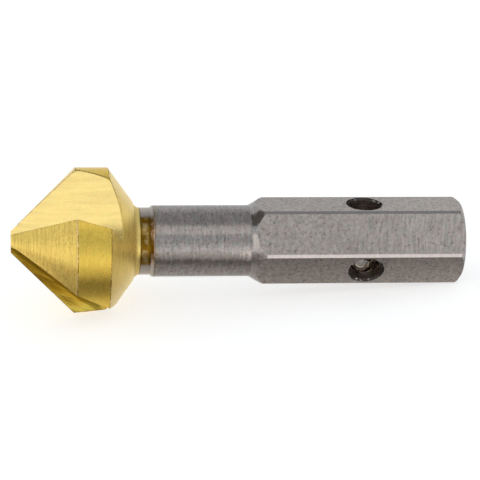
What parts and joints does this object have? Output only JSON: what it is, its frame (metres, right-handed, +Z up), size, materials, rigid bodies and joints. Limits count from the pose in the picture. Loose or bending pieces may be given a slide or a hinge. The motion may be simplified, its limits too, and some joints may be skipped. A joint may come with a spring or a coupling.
{
  "type": "countersink bit",
  "caption": "Conical rotary cutting bit with flutes ground into a gold-coated head, a slim neck, a round shaft and a cross-drilled hexagonal shank.",
  "frame": {"origin": "centre of the bit's bounding box, on the surface that it lies on", "axes": "+X runs along the bit from its tip towards its shank, seen from above; +Z is up; -Y is the side that faces the camera. The bit lies nose up by about 5.6 degrees, on the head's rim and the end of one flat"},
  "size_m": [0.0632, 0.02, 0.0208],
  "materials": {
    "tool_steel": "satin ground tool steel; the head is gold-coloured, with a brown heat tint at the neck"
  },
  "bodies": {
    "root": {"countersink_bit": "tool_steel"}
  },
  "joints": []
}
